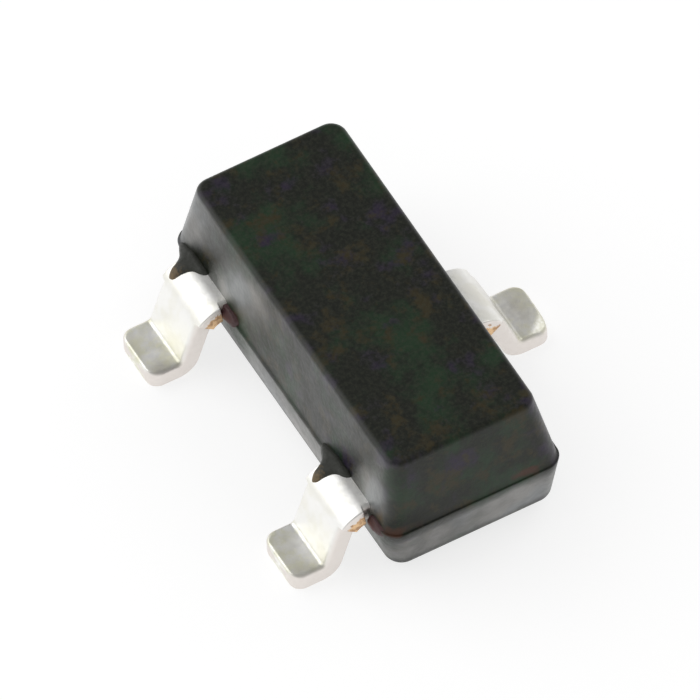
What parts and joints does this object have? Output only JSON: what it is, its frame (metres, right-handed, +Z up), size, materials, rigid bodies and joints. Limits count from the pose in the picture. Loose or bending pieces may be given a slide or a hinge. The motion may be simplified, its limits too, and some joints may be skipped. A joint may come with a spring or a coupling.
{
  "type": "switching diode",
  "caption": "Small surface-mount switching diode: a drafted black moulded body with bent gull-wing leads on its two long sides, for soldering flat to a circuit board.",
  "frame": {"origin": "centre of the footprint, on the plane of the board that the leads' soles rest on", "axes": "+X along the body's long side, from anode lead 1 to anode lead 2; +Y towards the single cathode lead; +Z up from the board"},
  "size_m": [0.0028, 0.0024, 0.001],
  "materials": {
    "moulding_compound": "black filled epoxy, fine matt mould texture",
    "tinned_copper": "satin tin plate over copper alloy, bare copper where the tie bar was cut",
    "silicon": "polished dark silicon with a small bright metal contact",
    "solder": "dull grey solder",
    "gold_wire": "bright drawn gold wire"
  },
  "bodies": {
    "root": {"moulded_body": "moulding_compound", "anode_lead_1": "tinned_copper", "anode_lead_2": "tinned_copper", "cathode_lead": "tinned_copper", "diode_chip_1": "silicon", "diode_chip_2": "silicon", "chip_solder_1": "solder", "chip_solder_2": "solder", "bond_wire_1": "gold_wire", "bond_wire_2": "gold_wire"}
  },
  "joints": []
}
